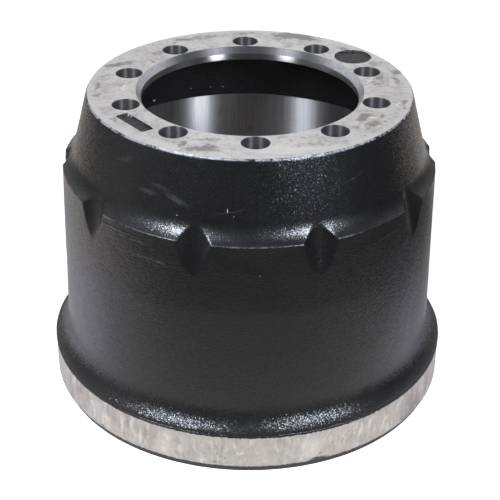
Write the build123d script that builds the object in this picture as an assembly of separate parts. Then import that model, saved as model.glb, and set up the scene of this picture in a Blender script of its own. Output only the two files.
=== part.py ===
from build123d import *
import os
from math import cos, radians, sin, tan

# Brake drum for a 300 x 200 mm drum brake on a ten-stud trailer axle: one grey-iron casting.
# Frame: origin at the centre of the open rim, which lies in z = 0; +Z runs along the
# axis of rotation towards the mounting flange. Millimetres. The bolt holes stand midway
# between the notches, and a notch lies on +X.

# Mounting flange and its pilot bore
HEIGHT = 280.0              # open rim to the machined mounting face
BOLT_COUNT = 10
BOLT_CIRCLE = 225.0         # pitch circle diameter of the wheel studs
BOLT_HOLE_R = 11.5          # clearance for 22 mm studs
PILOT_R = 95.75             # bore that centres the drum on the hub
PILOT_LEAD_R = 4.1          # lead-in of the pilot bore: radial width
PILOT_LEAD_Z = 5.6          # and axial depth
FLANGE_T = 12.0             # thickness at the pilot bore
FACE_R = 141.9              # outer edge of the machined face

# Bell: the cone that joins the flange to the shoulder
BELL_R = 142.7              # cone radius, carried up to the mounting face
BELL_TAPER = 14.8           # degrees from the axis
BELL_WALL = 12.3            # wall thickness, square to the cone
BELL_CORNER_Z = 1.9         # height of the broken corner under the machined face
BELL_INNER_CHAMFER = 7.0    # inside, between the bell and the flange: length along each

# Shoulder and barrel
SHOULDER_R = 166.9          # sharp parting edge of the shoulder
SHOULDER_Z = 214.1
COVE_Z = 229.6              # where the concave shoulder leaves the bell
BARREL_FOOT_R = 170.5       # barrel radius where the flare begins
BARREL_FOOT_Z = 61.0

# Flare, squealer band and open rim
FLARE_R = 182.3             # end of the concave flare
FLARE_Z = 40.0
LIP_R = 183.9               # as-cast lip that stands proud of the turned band
LIP_TOP_Z = 39.5
LIP_BOTTOM_Z = 37.9
BAND_R = 183.4              # turned band
RIM_R = 180.3               # outer edge of the rim face, after the bevel
RIM_BEVEL_Z = 6.6           # height of that bevel

# Braking surface
BRAKE_R = 150.0
BRAKE_TOP_Z = 211.0
BRAKE_LEAD = 2.0            # lead-in bevel at the open rim

# Notches scooped out of the shoulder
NOTCH_COUNT = 10
NOTCH_TOP = (157.1, 226.2)          # radius and height where the floor line meets the cove
NOTCH_BOTTOM = (167.4, 187.0)       # and where it runs out on the barrel
NOTCH_R = 22.5                      # radius of the round scoop
NOTCH_OVERRUN = 8.0                 # the cutter runs past both ends by this much

# Shallow as-cast recesses in the mounting face, between bolt holes
PAD_R = 121.3               # distance of each recess from the axis
PAD_DEPTH = 1.8
LONG_PAD = (12.0, 40.0)     # radial and tangential size
LONG_PAD_CORNER_R = 1.5
LONG_PAD_ANGLE = 216.0
ROUND_PAD_R = 17.0
ROUND_PAD_ANGLE = 36.0


def bell_radius(z):
    """Outer radius of the bell's cone at height z."""
    return BELL_R + (HEIGHT - z) * tan(radians(BELL_TAPER))


def inner_bell_radius(z):
    """Inner radius of the bell at height z: the outer cone less the wall."""
    return bell_radius(z) - BELL_WALL / cos(radians(BELL_TAPER))


def turned_section():
    """Half section of the casting in the XZ plane, as (radius, height)."""
    underside_z = HEIGHT - FLANGE_T
    cone_slope = tan(radians(BELL_TAPER))
    inner_corner_r = inner_bell_radius(underside_z)
    chamfer_on_cone = (
        inner_corner_r + BELL_INNER_CHAMFER * sin(radians(BELL_TAPER)),
        underside_z - BELL_INNER_CHAMFER * cos(radians(BELL_TAPER)),
    )
    chamfer_on_flat = (inner_corner_r - BELL_INNER_CHAMFER, underside_z)

    rim_outer = (RIM_R, 0)
    rim_inner = (BRAKE_R + BRAKE_LEAD, 0)
    brake_foot = (BRAKE_R, BRAKE_LEAD)
    brake_top = (BRAKE_R, BRAKE_TOP_Z)
    cast_step = (inner_bell_radius(BRAKE_TOP_Z), BRAKE_TOP_Z)
    pilot_foot = (PILOT_R, underside_z)
    pilot_top = (PILOT_R, HEIGHT - PILOT_LEAD_Z)
    face_inner = (PILOT_R + PILOT_LEAD_R, HEIGHT)
    face_outer = (FACE_R, HEIGHT)
    corner_z = HEIGHT - BELL_CORNER_Z
    corner_foot = (bell_radius(corner_z), corner_z)
    cove_top = (bell_radius(COVE_Z), COVE_Z)
    shoulder = (SHOULDER_R, SHOULDER_Z)
    barrel_foot = (BARREL_FOOT_R, BARREL_FOOT_Z)
    barrel_dir = (BARREL_FOOT_R - SHOULDER_R, BARREL_FOOT_Z - SHOULDER_Z)
    flare_foot = (FLARE_R, FLARE_Z)

    with BuildSketch(Plane.XZ) as section:
        with BuildLine():
            Polyline(rim_outer, rim_inner, brake_foot, brake_top, cast_step, chamfer_on_cone)
            Polyline(chamfer_on_cone, chamfer_on_flat, pilot_foot, pilot_top)
            Polyline(pilot_top, face_inner, face_outer, corner_foot, cove_top)
            TangentArc(cove_top, shoulder, tangent=(cone_slope, -1))
            Line(shoulder, barrel_foot)
            TangentArc(barrel_foot, flare_foot, tangent=barrel_dir)
            Polyline(
                flare_foot,
                (LIP_R, LIP_TOP_Z),
                (LIP_R, LIP_BOTTOM_Z),
                (BAND_R, LIP_BOTTOM_Z),
                (BAND_R, RIM_BEVEL_Z),
                rim_outer,
            )
        make_face()
    return section.sketch


def notch_cutter():
    """A round bar that scoops out the notch on +X, with its lowest side along the floor line."""
    top = Vector(NOTCH_TOP[0], 0, NOTCH_TOP[1])
    bottom = Vector(NOTCH_BOTTOM[0], 0, NOTCH_BOTTOM[1])
    along = (top - bottom).normalized()
    outward = Vector(along.Z, 0, -along.X)
    start = bottom - along * NOTCH_OVERRUN + outward * NOTCH_R
    length = (top - bottom).length + 2 * NOTCH_OVERRUN
    return Plane(start, z_dir=along) * extrude(Circle(NOTCH_R), length)


def bolt_hole_cutter():
    """One drilled hole through the flange, on the pitch circle."""
    return Pos(BOLT_CIRCLE / 2, 0, HEIGHT) * Cylinder(BOLT_HOLE_R, 4 * FLANGE_T)


def recess_cutters():
    """The long and the round recess in the mounting face."""
    centre = Pos(PAD_R, 0, HEIGHT - PAD_DEPTH)
    long_outline = RectangleRounded(LONG_PAD[0], LONG_PAD[1], LONG_PAD_CORNER_R)
    long_pad = Rot(0, 0, LONG_PAD_ANGLE) * centre * extrude(long_outline, 2 * PAD_DEPTH)
    round_pad = Rot(0, 0, ROUND_PAD_ANGLE) * centre * extrude(Circle(ROUND_PAD_R), 2 * PAD_DEPTH)
    return [long_pad, round_pad]


def ring_of(cutter, count, first_angle):
    """The cutter repeated evenly round the axis."""
    step = 360.0 / count
    return [Rot(0, 0, first_angle + k * step) * cutter for k in range(count)]


def brake_drum():
    """The casting, turned, notched, drilled and with its two recesses."""
    drum = revolve(turned_section(), Axis.Z)
    cutters = ring_of(notch_cutter(), NOTCH_COUNT, 0.0)
    cutters += ring_of(bolt_hole_cutter(), BOLT_COUNT, 180.0 / BOLT_COUNT)
    cutters += recess_cutters()
    drum = drum - cutters
    solid = drum.solids()[0]
    solid.label = "brake_drum"
    return solid


os.makedirs("parts", exist_ok=True)
export_step(brake_drum(), "parts/brake_drum.step")
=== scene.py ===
"""Brake drum for a heavy trailer axle: the dressed casting and a plain studio.

Laid out as an add-on and run as a script. The casting is one closed mesh, worked out with numpy
in millimetres about the drum's axis, from the open rim (z = 0) up to the mounting face.
"""

from math import atan2, cos, hypot, pi, radians, sin, tan

import bmesh
import bpy
import numpy as np
from mathutils import Matrix, Vector


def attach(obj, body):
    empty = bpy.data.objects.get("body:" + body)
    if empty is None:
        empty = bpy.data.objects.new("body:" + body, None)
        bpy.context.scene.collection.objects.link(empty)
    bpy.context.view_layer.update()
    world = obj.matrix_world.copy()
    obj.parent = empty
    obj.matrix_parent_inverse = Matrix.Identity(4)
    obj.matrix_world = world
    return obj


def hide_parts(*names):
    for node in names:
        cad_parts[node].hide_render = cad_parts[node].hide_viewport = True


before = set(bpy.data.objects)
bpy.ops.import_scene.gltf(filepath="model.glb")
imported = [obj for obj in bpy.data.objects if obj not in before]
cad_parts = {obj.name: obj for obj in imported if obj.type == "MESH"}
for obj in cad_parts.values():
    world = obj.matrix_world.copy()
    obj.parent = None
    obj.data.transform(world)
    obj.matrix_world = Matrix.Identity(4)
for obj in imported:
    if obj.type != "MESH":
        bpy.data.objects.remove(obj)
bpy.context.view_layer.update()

bl_info = {
    "name": "Brake drum",
    "version": (1, 0, 0),
    "blender": (4, 5, 0),
    "location": "3D View > Sidebar > Brake drum",
    "description": "Builds the casting of a trailer brake drum with its finishes, and a studio",
    "category": "Object",
}

MM = 0.001

# Columns round the casting: each tenth of a turn has one pad sector, above a notch, and one sector
# with a stud hole
PERIODS = 10
STEP = 360 / PERIODS
PAD_HALF = 10.5
PAD_COLUMNS = 38
HOLE_COLUMNS = 26
SIDE_ROWS = 12
NOTCH_CROWDING = 0.55

# Distance in metres within which corners are welded, and the angle from which an edge is sharp
WELD = 2e-6
SHARP = radians(32)

# Section of the casting, in millimetres
FACE_R = 141.9
BELL_TAPER = radians(14.8)
BELL_R = 142.7
BELL_CORNER_Z = 3.0
BELL_WALL = 12.3
INNER_SHIFT = BELL_WALL / cos(BELL_TAPER)
INNER_FILLET = 9.0
FILLET_RUN = INNER_FILLET * tan((pi / 2 - BELL_TAPER) / 2)
COVE_Z = 229.6
SHOULDER = (166.9, 214.1)
SHOULDER_ROUND = 0.7
NOTCH_END_Z = 183.0
BARREL_FOOT = (170.5, 61.0)
FLARE = (182.3, 40.0)
LIP = ((182.9, 39.9), (183.4, 39.7), (183.7, 39.3), (183.85, 38.7), (183.7, 38.1))
BAND_R = 183.4
BAND_TOP_Z = 37.9
BEVEL_Z = 6.6
RIM_R = 180.3
BRAKE_R = 150.0
BRAKE_TOP_Z = 211.0
BRAKE_LEAD = 2.0
PILOT_LEAD = (4.1, 5.6)
PILOT_EASE = (0.25, 0.3)
EDGE = 0.6

# Notches: a round scoop whose deepest line runs down through the shoulder
NOTCH_TOP = (157.1, 226.2)
NOTCH_BOTTOM = (167.4, 187.0)
NOTCH_R = 22.5
NOTCH_EDGE = 0.6
NOTCH_BAR = 0.97    # share of its radius out to which a notch follows the bar
NOTCH_RISE = 4      # steepness beyond it

# Heights between which the columns draw towards the notches and away again, and between which
# a notch begins and ends
CROWD = (90, 170)
SPREAD = (235, 268)
NOTCH_FOOT = (NOTCH_END_Z, NOTCH_END_Z + 1.5)
NOTCH_HEAD = (233, 236)

# Wavelengths of the waviness of the cast skin
LONG_WAVE = 38
SHORT_WAVE = 13

# Recesses left as cast in the mounting face
PAD_R = 121.3
PAD_DEPTH = 1.8
PAD_WALL = ((0.15, 0.5), (0.5, 0.8), (1.2, 1.0))    # inset from the edge, share of the depth
PAD_RINGS = (0.7, 0.45, 0.22, 0)                    # shares of the way out from the middle
PAD_FACE_RINGS = (0, 0.15, 0.5, 1)                  # and on across the face round it
PAD_ROUGHNESS = 0.08
PAD_WAVE = 5.0
LONG_PAD_HALF = (6.0, 20.0)
LONG_PAD_POWER = 16
LONG_PAD_PERIOD = 6
ROUND_PAD_R = 17.0
ROUND_PAD_PERIOD = 1

PAINT, FACE, BAND, BRAKE, RECESS, BORE, BEVEL, LEAD, HOLE = range(9)


class DrumSizes(bpy.types.PropertyGroup):
    """Sizes of the casting that a user would change."""

    height: bpy.props.FloatProperty(
        name="Height",
        description="From the open rim to the mounting face",
        default=0.28,
        unit="LENGTH",
    )
    flange: bpy.props.FloatProperty(
        name="Flange thickness",
        description="Thickness of the mounting flange at the pilot bore",
        default=0.012,
        unit="LENGTH",
    )
    pilot_r: bpy.props.FloatProperty(
        name="Pilot radius",
        description="Radius of the bore that centres the drum on its hub",
        default=0.09575,
        unit="LENGTH",
    )
    stud_circle_r: bpy.props.FloatProperty(
        name="Stud circle radius",
        description="Radius of the circle on which the stud holes lie",
        default=0.1125,
        unit="LENGTH",
    )
    stud_hole_r: bpy.props.FloatProperty(
        name="Stud hole radius",
        description="Radius of each stud hole",
        default=0.0115,
        unit="LENGTH",
    )
    casting_wave: bpy.props.FloatProperty(
        name="Casting waviness",
        description="How far the as-cast skin strays from its true shape",
        default=0.00009,
        unit="LENGTH",
    )


class DrumColours(bpy.types.PropertyGroup):
    """Colours of the finishes."""

    paint: bpy.props.FloatVectorProperty(
        name="Paint",
        description="Semi-gloss black paint over the casting",
        default=(0.0028, 0.0027, 0.003),
        size=3,
        subtype="COLOR",
    )
    iron: bpy.props.FloatVectorProperty(
        name="Machined iron",
        description="Turned and drilled grey iron",
        default=(0.62, 0.61, 0.6),
        size=3,
        subtype="COLOR",
    )
    band: bpy.props.FloatVectorProperty(
        name="Band",
        description="Turned band at the open rim",
        default=(0.52, 0.483, 0.435),
        size=3,
        subtype="COLOR",
    )


class StudioSettings(bpy.types.PropertyGroup):
    """Floor, lamps and surroundings."""

    floor: bpy.props.FloatVectorProperty(
        name="Floor",
        description="Colour of the floor",
        default=(0.93, 0.93, 0.93),
        size=3,
        subtype="COLOR",
    )
    lamp_power: bpy.props.FloatProperty(
        name="Lamp power",
        description="Power of each of the two soft lamps",
        default=42.0,
        unit="POWER",
    )
    fill: bpy.props.FloatProperty(
        name="Fill",
        description="Strength of the even light from all round",
        default=0.15,
    )


# ---------------------------------------------------------------- shapes


def arc(start, end, tangent, count):
    """Points on the circular arc that leaves start along tangent and ends at end.

    The point a share s along it lies 2 R sin(a s) from start, in the direction turned by a s from
    the tangent, where a is the angle between the tangent and the chord from start to end.
    """
    chord = (end[0] - start[0], end[1] - start[1])
    cross = tangent[0] * chord[1] - tangent[1] * chord[0]
    turn = atan2(cross, tangent[0] * chord[0] + tangent[1] * chord[1])
    angle = np.linspace(0, 1, count + 1) * turn
    reach = hypot(*chord) / sin(turn) * np.sin(angle)
    heading = atan2(tangent[1], tangent[0]) + angle
    return np.stack(
        (start[0] + reach * np.cos(heading), start[1] + reach * np.sin(heading)), axis=1
    )


def line(start, end, count):
    """Evenly spaced points from start to end, both included."""
    share = np.linspace(0, 1, count + 1)[:, None]
    return np.array(start) * (1 - share) + np.array(end) * share


def rounded(before, corner, after, size, count):
    """A corner eased by the quadratic curve from size before it to size after it."""
    corner = np.array(corner)
    ways = (before - corner, after - corner)
    start, end = (corner + way / hypot(*way) * size for way in ways)
    s = np.linspace(0, 1, count + 1)[:, None]
    return start * (1 - s) ** 2 + 2 * corner * s * (1 - s) + end * s**2


def chain(parts):
    """Sections joined end to end: (points, finish) pairs to one array of points and, for each
    row of faces between two points, its finish."""
    points = [parts[0][0][:1]] + [section[1:] for section, _ in parts]
    kinds = [np.full(len(section) - 1, finish) for section, finish in parts]
    return np.concatenate(points), np.concatenate(kinds)


def bell_radius(z, height):
    """Outer radius of the bell's cone at height z."""
    return BELL_R + (height - z) * tan(BELL_TAPER)


def flange_sizes(sizes):
    """In millimetres: heights of the mounting face and of the flange's underside, radius of the
    pilot bore, and radius at which the underside meets the fillet of the bell."""
    height = sizes.height / MM
    underside = height - sizes.flange / MM
    corner = bell_radius(underside, height) - INNER_SHIFT
    return height, underside, sizes.pilot_r / MM, corner - FILLET_RUN


def outer_section(sizes):
    """Half section from the mounting face's outer edge, down the outside, round the rim and up
    the inside to the flange's underside, as (radius, height). The last number of each part is
    its count of rows."""
    height, underside, _, fillet_r = flange_sizes(sizes)
    slope = tan(BELL_TAPER)
    face_edge = (FACE_R, height)
    corner_foot = (bell_radius(height - BELL_CORNER_Z, height), height - BELL_CORNER_Z)
    cove_top = (bell_radius(COVE_Z, height), COVE_Z)
    corner = arc(corner_foot, face_edge, (-slope, 1), 8)[::-1]
    cove = arc(cove_top, SHOULDER, (slope, -1), 15)
    eased = rounded(cove[-2], SHOULDER, BARREL_FOOT, SHOULDER_ROUND, 4)
    barrel_dir = (BARREL_FOOT[0] - SHOULDER[0], BARREL_FOOT[1] - SHOULDER[1])
    notch_end = (
        SHOULDER[0] + barrel_dir[0] * (SHOULDER[1] - NOTCH_END_Z) / -barrel_dir[1],
        NOTCH_END_Z,
    )
    lip = np.array([FLARE, *LIP, (BAND_R, BAND_TOP_Z)])
    corner_r = bell_radius(underside, height) - INNER_SHIFT
    down = FILLET_RUN * cos(BELL_TAPER)
    fillet_foot = (corner_r + FILLET_RUN * sin(BELL_TAPER), underside - down)
    fillet_top = (fillet_r, underside)
    band_foot = (BAND_R, BEVEL_Z)
    rim_outer = (RIM_R, 0)
    rim_inner = (BRAKE_R + BRAKE_LEAD, 0)
    brake_foot = (BRAKE_R, BRAKE_LEAD)
    brake_top = (BRAKE_R, BRAKE_TOP_Z)
    step = (bell_radius(BRAKE_TOP_Z, height) - INNER_SHIFT, BRAKE_TOP_Z)
    parts = [
        (corner, PAINT),
        (line(corner_foot, cove_top, 10), PAINT),
        (cove[:-1], PAINT),
        (np.concatenate((cove[-2:-1], eased)), PAINT),
        (line(eased[-1], notch_end, 24), PAINT),
        (line(notch_end, BARREL_FOOT, 10), PAINT),
        (arc(BARREL_FOOT, FLARE, barrel_dir, 13), PAINT),
        (lip, PAINT),
        (line((BAND_R, BAND_TOP_Z), band_foot, 4), BAND),
        (line(band_foot, rim_outer, 3), BEVEL),
        (line(rim_outer, rim_inner, 2), BAND),
        (line(rim_inner, brake_foot, 1), BRAKE),
        (line(brake_foot, brake_top, 4), BRAKE),
        (line(brake_top, step, 1), BRAKE),
        (line(step, fillet_foot, 4), PAINT),
        (arc(fillet_foot, fillet_top, (-slope, 1), 5), PAINT),
    ]
    return chain(parts)


def base_angles():
    """Angles of the columns at the face: even across each pad sector and each hole sector."""
    pad = np.linspace(-PAD_HALF, PAD_HALF, PAD_COLUMNS + 1)[:-1]
    hole = np.linspace(PAD_HALF, STEP - PAD_HALF, HOLE_COLUMNS + 1)[:-1]
    period = np.concatenate((pad, hole))
    return np.radians((np.arange(PERIODS)[:, None] * STEP + period).ravel())


def crowded(angles, share):
    """Columns drawn towards the notches: each angle loses share times a sine of the period."""
    return angles - share * NOTCH_CROWDING * np.sin(PERIODS * angles) / PERIODS


def ease(value, low, high):
    """Smooth step from 0 at low to 1 at high."""
    x = np.clip((value - low) / (high - low), 0, 1)
    return x * x * (3 - 2 * x)


def waves(points, length, seed):
    """Smooth noise of about unit size: a sum of sines in fixed random directions, each with a
    wavelength near length."""
    draw = np.random.default_rng(seed)
    count = 14
    direction = draw.normal(size=(count, 3))
    direction /= np.linalg.norm(direction, axis=1)[:, None]
    pitch = 2 * pi / (length * draw.uniform(0.7, 1.5, count))
    phase = draw.uniform(0, 2 * pi, count)
    return np.sin(points @ (direction * pitch[:, None]).T + phase).sum(axis=-1) / count**0.5


def notch_radius(angle, z, guess):
    """Radius of the notch's surface at an angle from its middle and a height.

    The notch is a round bar of radius R laid along a straight line down the shoulder: at a
    distance a to the side its surface stands R - sqrt(R^2 - a^2) above that line, measured
    square to it, and beyond the bar it goes on rising steeply. Three rounds settle the radius.
    """
    slope = (NOTCH_BOTTOM[0] - NOTCH_TOP[0]) / (NOTCH_TOP[1] - NOTCH_BOTTOM[1])
    floor = NOTCH_TOP[0] + (NOTCH_TOP[1] - z) * slope
    radius = guess
    for _ in range(3):
        across = np.abs(radius * np.sin(angle))
        inside = np.minimum(across, NOTCH_BAR * NOTCH_R)
        rise = NOTCH_R - np.sqrt(NOTCH_R**2 - inside**2) + NOTCH_RISE * (across - inside)
        radius = (floor + rise * hypot(1, slope)) / np.cos(angle)
    return radius


def soft_min(a, b, width):
    """The lower of two surfaces, with the edge where they cross eased over about width."""
    blend = np.clip(0.5 + 0.5 * (b - a) / width, 0, 1)
    return b * (1 - blend) + a * blend - width * blend * (1 - blend)


def skin(sizes):
    """The outside, rim and inside of the casting as one grid of rows and columns.

    Each row is a point of the section turned round the axis. Between the cove and the barrel the
    radius is the lower of the section's and the notch's, and the as-cast skin strays by a little.
    """
    section, finish = outer_section(sizes)
    order = np.arange(len(section))
    r = section[:, :1]
    z = section[:, 1:]
    outside = order[:, None] <= np.argmin(np.abs(section[:, 1] - BAND_TOP_Z))
    share = ease(z, *CROWD) * (1 - ease(z, *SPREAD)) * outside
    angle = crowded(base_angles()[None, :], share)
    from_notch = (angle * PERIODS + pi) % (2 * pi) - pi
    cut = notch_radius(from_notch / PERIODS, z, r)
    reached = outside * ease(z, *NOTCH_FOOT) * (1 - ease(z, *NOTCH_HEAD))
    radius = r + (soft_min(r + 0 * angle, cut, NOTCH_EDGE) - r) * reached
    points = np.stack((radius * np.cos(angle), radius * np.sin(angle), z + 0 * angle), axis=2)
    cast = (finish == PAINT).astype(float)
    cast = np.minimum(np.append(cast, cast[-1]), np.insert(cast, 0, cast[0]))
    cast[0] = cast[-1] = 0
    stray = (waves(points, LONG_WAVE, 1) + 0.5 * waves(points, SHORT_WAVE, 2)) * cast[:, None]
    swell = 1 + stray * sizes.casting_wave / MM / radius
    points[..., :2] *= swell[..., None]
    return points, finish


BORE_FINISH = np.array((LEAD, LEAD, BORE, BORE))


def bore(sizes):
    """The pilot bore with its lead-in, from the mounting face down to the underside."""
    height, underside, pilot, _ = flange_sizes(sizes)
    lead_foot = height - PILOT_LEAD[1]
    rows = [
        (pilot + PILOT_LEAD[0], height),
        (pilot + PILOT_EASE[0], lead_foot + PILOT_EASE[1]),
        (pilot, lead_foot - PILOT_EASE[1]),
        (pilot, underside + EDGE),
        (pilot + EDGE, underside),
    ]
    section = np.array(rows)
    return level(section[:, :1, None] * directions(base_angles()), section[:, 1])


def directions(angle):
    """Unit vectors in the plane at the given angles."""
    return np.stack((np.cos(angle), np.sin(angle)), axis=1)


def sector_outline(inner, outer, first, last, columns):
    """Outline of a sector of a ring, anticlockwise from its inner corner at the first angle."""
    side = np.linspace(inner, outer, SIDE_ROWS + 1)
    turn = np.linspace(first, last, columns + 1)
    radius = np.concatenate(
        (side[:-1], np.full(columns, outer), side[::-1][:-1], np.full(columns, inner))
    )
    angle = np.concatenate(
        (np.full(SIDE_ROWS, first), turn[:-1], np.full(SIDE_ROWS, last), turn[::-1][:-1])
    )
    return radius[:, None] * directions(angle)


def bearings(outline, centre):
    """Direction of each point of an outline from a centre, rising round the loop and drawn a
    third of the way towards even steps."""
    away = outline - centre
    found = np.unwrap(np.arctan2(away[:, 1], away[:, 0]))
    even = found[0] + np.arange(len(found)) * 2 * pi / len(found)
    return found * 2 / 3 + (even + (found - even).mean()) / 3


def loops(inner, outline, shares):
    """Rings of points between an inner loop and an outline, at the given shares of the way."""
    steps = np.array(shares)[:, None, None]
    return inner[None] * (1 - steps) + outline[None] * steps


def level(flat, z):
    """Points in a plane lifted to a height, which may differ from ring to ring."""
    heights = np.broadcast_to(np.reshape(z, (-1, 1, 1)), flat.shape[:2] + (1,))
    return np.concatenate((flat, heights), axis=2)


def circle(centre, radius, bearing):
    """Points at a radius from a centre along each bearing."""
    return centre + directions(bearing) * np.reshape(radius, (-1, 1))


def hole_sector(sizes, index):
    """One stud hole: the face round it, its wall with both edges broken, and the underside."""
    height, underside, pilot, fillet_r = flange_sizes(sizes)
    hole = sizes.stud_hole_r / MM
    middle = radians(STEP * (index + 0.5))
    first = radians(STEP * index + PAD_HALF)
    last = radians(STEP * (index + 1) - PAD_HALF)
    centre = np.array([cos(middle), sin(middle)]) * sizes.stud_circle_r / MM
    top = sector_outline(pilot + PILOT_LEAD[0], FACE_R, first, last, HOLE_COLUMNS)
    foot = sector_outline(pilot + EDGE, fillet_r, first, last, HOLE_COLUMNS)
    bearing = bearings(top, centre)
    wide = circle(centre, hole + EDGE, bearing)
    shares = (0, 0.15, 0.4, 0.7, 1)
    rows = (
        (hole + EDGE, height),
        (hole, height - EDGE),
        (hole, underside + EDGE),
        (hole + EDGE, underside),
    )
    wall = np.concatenate([level(circle(centre, r, bearing)[None], z) for r, z in rows])
    return [
        (level(loops(wide, top, shares), height), FACE, False),
        (wall, HOLE, True),
        (level(loops(wide, foot, shares), underside), PAINT, True),
    ]


def pad_outline(index, bearing):
    """Distance from a recess's middle to its edge along each bearing.

    The round one is a circle. The long one is a superellipse, |x/a|^n + |y/b|^n = 1, whose high
    power leaves small round corners. Both waver as a cast edge does.
    """
    away = bearing - radians(STEP * index)
    if index == ROUND_PAD_PERIOD:
        reach = np.full(len(bearing), ROUND_PAD_R)
    else:
        x = np.abs(np.cos(away)) / LONG_PAD_HALF[0]
        y = np.abs(np.sin(away)) / LONG_PAD_HALF[1]
        reach = (x**LONG_PAD_POWER + y**LONG_PAD_POWER) ** (-1 / LONG_PAD_POWER)
    waver = 0.1 * np.sin(7 * away + index) + 0.08 * np.sin(19 * away + 2)
    return reach + (waver + 0.06 * np.sin(31 * away))


def pad_sector(sizes, index):
    """The face between two stud holes, with or without a recess, and the underside below it."""
    height, underside, pilot, fillet_r = flange_sizes(sizes)
    face_inner = pilot + PILOT_LEAD[0]
    middle = radians(STEP * index)
    first = radians(STEP * index - PAD_HALF)
    last = radians(STEP * index + PAD_HALF)
    around = directions(np.linspace(first, last, PAD_COLUMNS + 1))
    below = np.linspace(pilot + EDGE, fillet_r, SIDE_ROWS + 1)[:, None, None] * around
    patches = [(level(below, underside), PAINT, True)]
    if index not in (LONG_PAD_PERIOD, ROUND_PAD_PERIOD):
        above = np.linspace(face_inner, FACE_R, SIDE_ROWS + 1)[:, None, None] * around
        return patches + [(level(above, height), FACE, False)]
    outline = sector_outline(face_inner, FACE_R, first, last, PAD_COLUMNS)
    centre = np.array([cos(middle), sin(middle)]) * PAD_R
    away = outline - centre
    bearing = np.arctan2(away[:, 1], away[:, 0])
    edge = pad_outline(index, bearing)
    rim = circle(centre, edge, bearing)
    floor = [level(rim[None], height)]
    for inset, depth in PAD_WALL:
        ring = circle(centre, edge - inset, bearing)
        floor.append(level(ring[None], height - depth * PAD_DEPTH))
    for share in PAD_RINGS:
        ring = circle(centre, (edge - PAD_WALL[-1][0]) * share, bearing)
        floor.append(level(ring[None], height - PAD_DEPTH))
    floor = np.concatenate(floor)
    rough = waves(floor, PAD_WAVE, 3) * PAD_ROUGHNESS * (floor[..., 2] < height - 0.9 * PAD_DEPTH)
    floor[..., 2] += rough
    return patches + [
        (level(loops(rim, outline, PAD_FACE_RINGS), height), FACE, False),
        (floor, RECESS, True),
    ]


def casting_patches(sizes):
    """Every grid of the casting as (points, finish, whether its columns close, whether to turn
    its faces over)."""
    points, finish = skin(sizes)
    patches = [(points, finish, True, False), (bore(sizes), BORE_FINISH, True, True)]
    for index in range(PERIODS):
        for grid, kind, flip in hole_sector(sizes, index):
            patches.append((grid, kind, True, flip))
        for grid, kind, flip in pad_sector(sizes, index):
            closes = len(grid[0]) == 2 * (SIDE_ROWS + PAD_COLUMNS)
            patches.append((grid, kind, closes, flip))
    return patches


def grid_faces(rows, columns, closes, flip, start):
    """Corner numbers of the quads of a grid whose points are numbered row by row."""
    row = np.arange(rows - 1)[:, None]
    column = np.arange(columns if closes else columns - 1)[None, :]
    after = (column + 1) % columns
    corners = (
        row * columns + column,
        row * columns + after,
        (row + 1) * columns + after,
        (row + 1) * columns + column,
    )
    quads = np.stack(corners, axis=2).reshape(-1, 4) + start
    return quads if flip else quads[:, ::-1]


def welded_mesh(name, vertices, quads, kinds=0):
    """A mesh of quads, each with its finish, welded where corners meet. With it come its number
    of open edges and its volume."""
    mesh = bpy.data.meshes.new(name)
    mesh.from_pydata(vertices.tolist(), [], quads.tolist())
    kinds = np.broadcast_to(kinds, len(quads)).astype(np.int32)
    mesh.polygons.foreach_set("material_index", kinds)
    welded = bmesh.new()
    welded.from_mesh(mesh)
    bmesh.ops.remove_doubles(welded, verts=welded.verts, dist=WELD)
    open_edges = sum(1 for edge in welded.edges if len(edge.link_faces) != 2)
    volume = welded.calc_volume(signed=True)
    welded.to_mesh(mesh)
    welded.free()
    return mesh, open_edges, volume


def placed(name, data):
    """A new object in the scene, made from its data."""
    made = bpy.data.objects.new(name, data)
    bpy.context.scene.collection.objects.link(made)
    return made


def casting_mesh(sizes):
    """The grids in one mesh, welded where they meet, with a finish on every face."""
    vertices, quads, kinds = [], [], []
    count = 0
    for points, finish, closes, flip in casting_patches(sizes):
        rows, columns = points.shape[:2]
        faces = grid_faces(rows, columns, closes, flip, count)
        across = len(faces) // (rows - 1)
        vertices.append(points.reshape(-1, 3) * MM)
        quads.append(faces)
        kinds.append(np.repeat(np.broadcast_to(finish, rows - 1), across))
        count += rows * columns
    vertices, quads, kinds = (np.concatenate(each) for each in (vertices, quads, kinds))
    mesh, open_edges, volume = welded_mesh("brake_drum_casting", vertices, quads, kinds)
    if open_edges or volume <= 0:
        raise RuntimeError(f"the casting has {open_edges} open edges and volume {volume}")
    mesh.shade_smooth()
    mesh.set_sharp_from_angle(angle=SHARP)
    return mesh


# ---------------------------------------------------------------- finishes

# The grey in the middle of a noise colour
MIDDLE = (0.5, 0.5, 0.5)

# Where a finish changes, in metres. Heights:
OFF_FLARE = (0.05, 0.068)
UP_BARREL = (0.06, 0.075)
TO_SHOULDER = (0.2, 0.214)
TO_BELL = (0.226, 0.236)
TO_FACE = (0.278, 0.279)
BAND_TOP = (0.0388, 0.0394)
BAND_FOOT = (0.0086, 0.0095)
# Radii:
CORNER_RIM = (0.141, 0.1418)
# Radii over which the face's mottle thins out, a painted highlight along its rim
FACE_MARGIN = (0.134, 0.139)
FACE_PAINT = (0.1431, 0.1435)
# Radius of the bell's cone, carried down to the open rim, from its inner to its outer wall:
THROUGH_BELL = (0.2076, 0.2096)
# Distances from the middle of the bore, to the side and to the back, over which the lead-in's
# painted sheen comes in:
LEAD_ASIDE = (0.054, 0.084)
LEAD_BACK = (-0.01, 0.02)
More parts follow.
